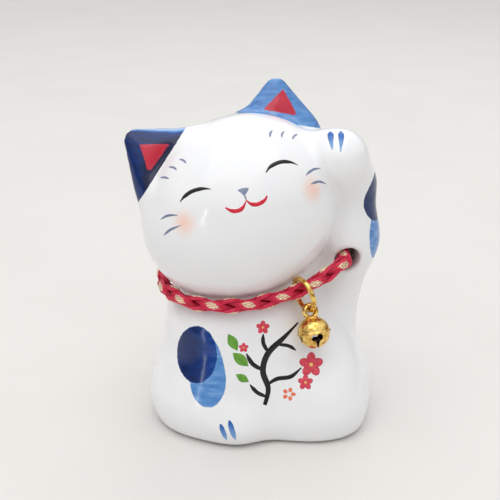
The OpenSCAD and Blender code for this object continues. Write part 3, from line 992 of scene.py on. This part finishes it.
def rig():
    """The ring's and the bell's places, worked out as the CAD model does."""
    route = collar_route()
    along = unit(route[RING_PLACE + 1] - route[RING_PLACE - 1])
    down = unit(-Z + along * along[2])
    out = np.cross(down, along)
    ring_down = down * cos(LEAN) + out * sin(LEAN)
    ring_front = (out * cos(LEAN) - down * sin(LEAN)) * cos(RING_TURN) + along * sin(RING_TURN)
    slack = RING_RADIUS - RING_WIRE - 1.04 * CORD_RADIUS - 0.1
    ring = RING_SPOT + slack * (cos(RING_SLIDE) * ring_down + sin(RING_SLIDE) * ring_front)
    hang_down = unit(-Z * cos(LEAN) + out * sin(LEAN))
    a = np.arctan2(hang_down @ ring_front, hang_down @ ring_down)
    hang = ring + RING_RADIUS * (cos(a) * ring_down + sin(a) * ring_front)
    hang_along = unit(cos(a) * ring_front - sin(a) * ring_down)
    bell_down = hang_down * cos(BELL_TILT) + np.cross(hang_along, hang_down) * sin(BELL_TILT)
    loop = hang + bell_down * (LOOP_RADIUS - LOOP_WIRE - RING_WIRE - 0.05)
    bell = loop + bell_down * (BELL_RADIUS + LOOP_RADIUS - 0.2)
    bell_up = unit(-bell_down + hang_along * (bell_down @ hang_along))
    axes = np.array([np.cross(hang_along, bell_up), hang_along, bell_up])
    return {"ring": ring, "ring_axes": (ring_down, ring_front), "loop": loop, "bell": bell, "axes": axes}


def keyhole(p):
    """Two crossed slits under the bell, each widening into a heart near the rim."""
    c, s = cos(KEYHOLE_TURN), sin(KEYHOLE_TURN)
    x, y, z = c * p[..., 0] + s * p[..., 1], c * p[..., 1] - s * p[..., 0], p[..., 2]
    across = np.minimum(abs(x), abs(y))
    slit = np.maximum(across - SLIT, z - SLIT_TOP)
    lobe = np.hypot(across - LOBE_SIDE, z - LOBE_UP) - LOBE
    point = np.hypot(across, z - POINT_UP) - POINT
    return blend(blend(lobe, point, 0.5), slit, 0.3)


def bell_half(p, up):
    """Distance to the upper or the lower cup, whose middle is at the origin."""
    r = length(p)
    around = np.hypot(p[..., 0], p[..., 1])
    shell = abs(r - BELL_RADIUS + BELL_SHEET / 2) - BELL_SHEET / 2
    rim = np.hypot(around - BELL_RADIUS - 0.02, p[..., 2]) - RIM
    shell = blend(shell, rim, 0.25)
    if up:
        bead = np.hypot(around - CROWN, p[..., 2] - CROWN_UP) - CROWN_BEAD
        cap = np.maximum(abs(r - BELL_RADIUS - 0.06) - 0.1, around - CROWN)
        shell = blend(blend(shell, bead, 0.2), cap, 0.15)
        return carve(shell, p[..., 2], 0.12)
    return carve(carve(shell, keyhole(p), 0.12), -p[..., 2], 0.12)


def bell_cup(name, node, up, at, gold):
    """The upper cup or the lower one, tarnished inside."""

    def cup(p):
        return bell_half(p, up)

    points, faces = grid_skin(cup, UPPER_LOW if up else LOWER_LOW, CUP_GRID, BELL_STEP)
    normals = unit(slope(cup, points)) @ at["axes"]
    inside = smooth(length(points), BELL_RADIUS - 0.08, BELL_RADIUS - BELL_SHEET + 0.05)
    points = points @ at["axes"] + at["bell"]
    piece = mesh_piece(name, points, faces, "bell", "gilt_brass", gold, normals, inside=inside)
    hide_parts(node)


def bell_loop(at, gold):
    """The flat strap on the crown that hangs on the ring."""
    t = np.arange(56) * 2 * pi / 56
    circle = np.cos(t)[:, None] * at["axes"][0] + np.sin(t)[:, None] * at["axes"][2]
    path = at["loop"] + (LOOP_RADIUS + 0.08) * circle
    points, faces = tube(path, circle, LOOP_WIRE + 0.08, 0.85, 20, closed=True)
    piece = mesh_piece("bell_strap_loop", points, faces, "bell", "gilt_brass", gold)
    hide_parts("bell_hanger_loop")


def bell(at, gold):
    bell_cup("bell_crown_half", "bell_upper_shell", True, at, gold)
    bell_cup("bell_keyhole_half", "bell_lower_shell", False, at, gold)
    bell_loop(at, gold)


def pellet():
    """The loose ball keeps its CAD shape."""
    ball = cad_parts["bell_pellet"]
    ball.data.materials.clear()
    ball.data.materials.append(metal_look("pellet_steel", tint(62, 52, 46), tint(104, 92, 82), 0.4))


def ring(at, gold):
    """A split ring: its wire goes nearly once round, and its two ends are rounded off."""
    down, front = at["ring_axes"]
    t = np.radians(np.linspace(RING_SPLIT, RING_SPLIT + 356, RING_POINTS))
    circle = np.cos(t)[:, None] * down + np.sin(t)[:, None] * front
    from_end = np.minimum(np.arange(RING_POINTS), np.arange(RING_POINTS)[::-1])
    size = RING_WIRE * np.sqrt(np.clip(from_end / 1.5, 0.45, 1))
    points, faces = tube(at["ring"] + RING_RADIUS * circle, circle, size, size, 20)
    piece = mesh_piece("split_jump_ring", points, faces, "ring", "gilt_brass", gold)
    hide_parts("jump_ring")


# ---------------------------------------------------------------- stage

def camera():
    """The photograph's view, from in front and above."""
    data = bpy.data.cameras.new("camera")
    data.angle = radians(26.7)
    view = bpy.data.objects.new("camera", data)
    view.location = vec(0, -258.5, 137.7) * MM
    view.rotation_euler = (radians(70.04), radians(-0.68), radians(0.88))
    bpy.context.scene.collection.objects.link(view)
    bpy.context.scene.camera = view
    bpy.context.scene.view_settings.view_transform = "Standard"


AIM = Vector((0, 0, 0.04))


def lamp(name, elevation, azimuth, distance, size, power):
    """A soft rectangular light that faces the cat.
    Azimuth 0 is in front of the cat and 90 is on its raised arm's side."""
    data = bpy.data.lights.new(name, "AREA")
    data.shape = "RECTANGLE"
    data.size, data.size_y = size
    data.energy = power
    up, round_it = radians(elevation), radians(azimuth)
    way = Vector((sin(round_it) * cos(up), -cos(round_it) * cos(up), sin(up)))
    lit = bpy.data.objects.new(name, data)
    lit.location = AIM + distance * way
    lit.rotation_euler = way.to_track_quat("Z", "Y").to_euler()
    bpy.context.scene.collection.objects.link(lit)


def soft_sky(tree):
    """A plain studio's walls and ceiling: bright overhead and dimmer towards the horizon."""
    up = tree.nodes.new("ShaderNodeSeparateXYZ")
    shade = tree.nodes.new("ShaderNodeValToRGB")
    tree.links.new(tree.nodes.new("ShaderNodeTexCoord").outputs["Generated"], up.inputs[0])
    tree.links.new(up.outputs["Z"], shade.inputs[0])
    tree.links.new(shade.outputs[0], tree.nodes["Background"].inputs["Color"])
    shade.color_ramp.elements[0].position = 0.05
    shade.color_ramp.elements[0].color = (0.2, 0.19, 0.19, 1)
    shade.color_ramp.elements[1].position = 0.5
    shade.color_ramp.elements[1].color = (1.0, 1.0, 1.0, 1)
    tree.nodes["Background"].inputs["Strength"].default_value = 0.9


def floor():
    look = Look("pale_floor", Roughness=0.75)
    pale = look.mix(look.noise(look.place(), 0.02), tint(218, 216, 212), tint(226, 224, 220))
    look.set("Base Color", pale)
    me = bpy.data.meshes.new("floor")
    me.from_pydata([(-3, -3, 0), (3, -3, 0), (3, 3, 0), (-3, 3, 0)], [], [(0, 1, 2, 3)])
    me.materials.append(look.material)
    plane = bpy.data.objects.new("floor", me)
    bpy.context.scene.collection.objects.link(plane)


def studio():
    world = bpy.data.worlds.new("studio")
    world.use_nodes = True
    soft_sky(world.node_tree)
    bpy.context.scene.world = world
    lamp("overhead", 72, -20, 0.8, (0.9, 0.9), 2.9)
    lamp("side_window", 5, -38, 0.7, (0.03, 0.2), 0.13)
    lamp("behind", 45, 165, 0.8, (0.4, 0.3), 0.6)


# ---------------------------------------------------------------- the scene

camera()
floor()
studio()
ceramic()
face()
toes()
sprig()
crimson = yarn_look()
gold_thread = metal_look("gold_thread", tint(214, 186, 124), tint(255, 250, 226), 0.22, 3.0)
gilt = metal_look("polished_gilt_brass", tint(188, 128, 46), tint(250, 216, 128), 0.05, 0.8, 0.1)
cord_path = collar(crimson, gold_thread)
knot(cord_path, crimson)
places = rig()
ring(places, gilt)
bell(places, gilt)
pellet()
